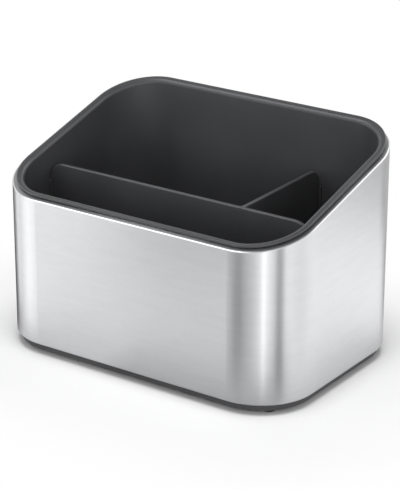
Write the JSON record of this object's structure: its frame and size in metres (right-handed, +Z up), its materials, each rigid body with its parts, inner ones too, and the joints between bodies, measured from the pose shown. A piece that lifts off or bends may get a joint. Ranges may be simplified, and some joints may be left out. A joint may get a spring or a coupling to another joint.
{
  "type": "kitchen sink caddy",
  "caption": "Worktop caddy with a slope-topped brushed steel sleeve, a lift-out plastic liner with drain slots, a lift-out T-shaped divider and a drip base on rubber feet.",
  "frame": {"origin": "centre of the plan on the worktop, at the underside of the feet", "axes": "+X to the right along the front, +Y from the low front to the high back, +Z up"},
  "size_m": [0.19, 0.13, 0.1287],
  "materials": {
    "steel": "fine horizontal brushed grain",
    "liner_plastic": "satin moulded",
    "base_plastic": "satin moulded",
    "foot_rubber": "matt soft rubber"
  },
  "bodies": {
    "sleeve": {"outer_sleeve": "steel", "base_tray": "base_plastic", "foot_front_left": "foot_rubber", "foot_front_right": "foot_rubber", "foot_back_left": "foot_rubber", "foot_back_right": "foot_rubber"},
    "liner": {"inner_liner": "liner_plastic"},
    "divider": {"divider": "liner_plastic"}
  },
  "joints": [
    {"name": "liner_lift", "type": "slide", "parent": "sleeve", "child": "liner", "axis": [0, 0, 1], "range_m": [0, 0.12]},
    {"name": "divider_lift", "type": "slide", "parent": "liner", "child": "divider", "axis": [0, 0, 1], "range_m": [0, 0.12]}
  ]
}
